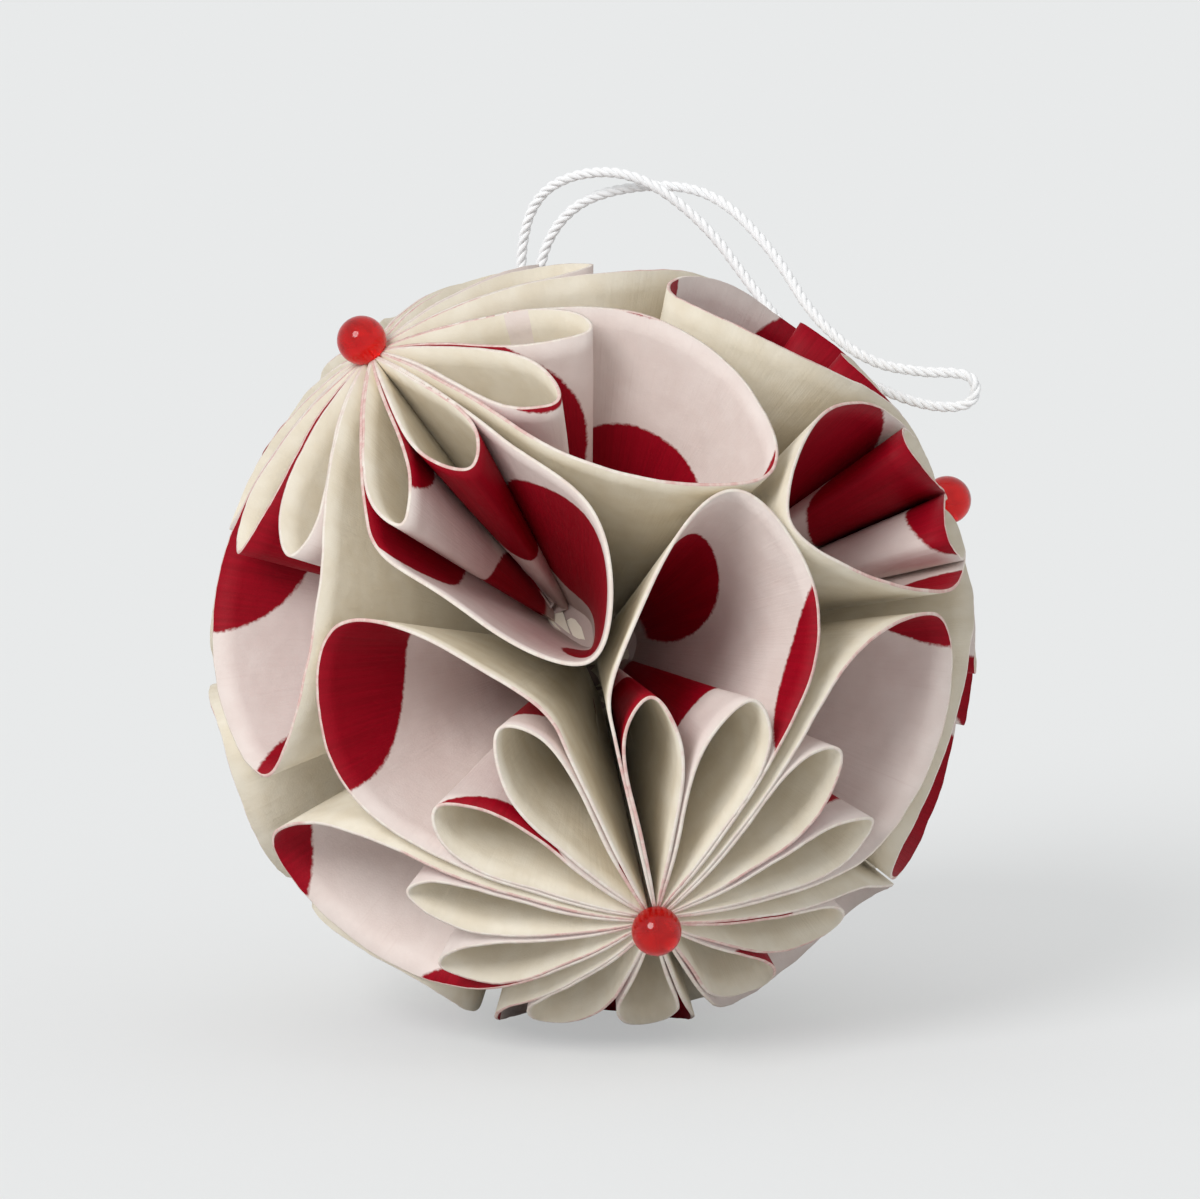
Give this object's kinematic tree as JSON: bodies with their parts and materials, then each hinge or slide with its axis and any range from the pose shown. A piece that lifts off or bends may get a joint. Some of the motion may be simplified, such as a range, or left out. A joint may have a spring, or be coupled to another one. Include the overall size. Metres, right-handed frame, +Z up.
{
  "type": "kusudama paper ball",
  "caption": "Round hanging ornament of folded paper discs set edge to edge in rosettes, a small round bead on each rosette, and a doubled cotton loop.",
  "frame": {"origin": "centre of the ball", "axes": "+Z up as the ball stands, -Y towards the side seen first, +X to its right"},
  "size_m": [0.0634, 0.0634, 0.0675],
  "materials": {
    "paper": "matt cotton paper, crimson dots printed on one side",
    "bead_glass": "polished translucent red",
    "cord_cotton": "twisted white cotton"
  },
  "bodies": {
    "root": {"petal_ab_edge": "paper", "petal_ab_face": "paper", "petal_ac_edge": "paper", "petal_ac_face": "paper", "petal_ad_edge": "paper", "petal_ad_face": "paper", "petal_ba_edge": "paper", "petal_ba_face": "paper", "petal_bc_edge": "paper", "petal_bc_face": "paper", "petal_bd_edge": "paper", "petal_bd_face": "paper", "petal_ca_edge": "paper", "petal_ca_face": "paper", "petal_cb_edge": "paper", "petal_cb_face": "paper", "petal_cd_edge": "paper", "petal_cd_face": "paper", "petal_da_edge": "paper", "petal_da_face": "paper", "petal_db_edge": "paper", "petal_db_face": "paper", "petal_dc_edge": "paper", "petal_dc_face": "paper", "bead_a": "bead_glass", "bead_b": "bead_glass", "bead_c": "bead_glass", "bead_d": "bead_glass", "hanging_cord": "cord_cotton"}
  },
  "joints": []
}
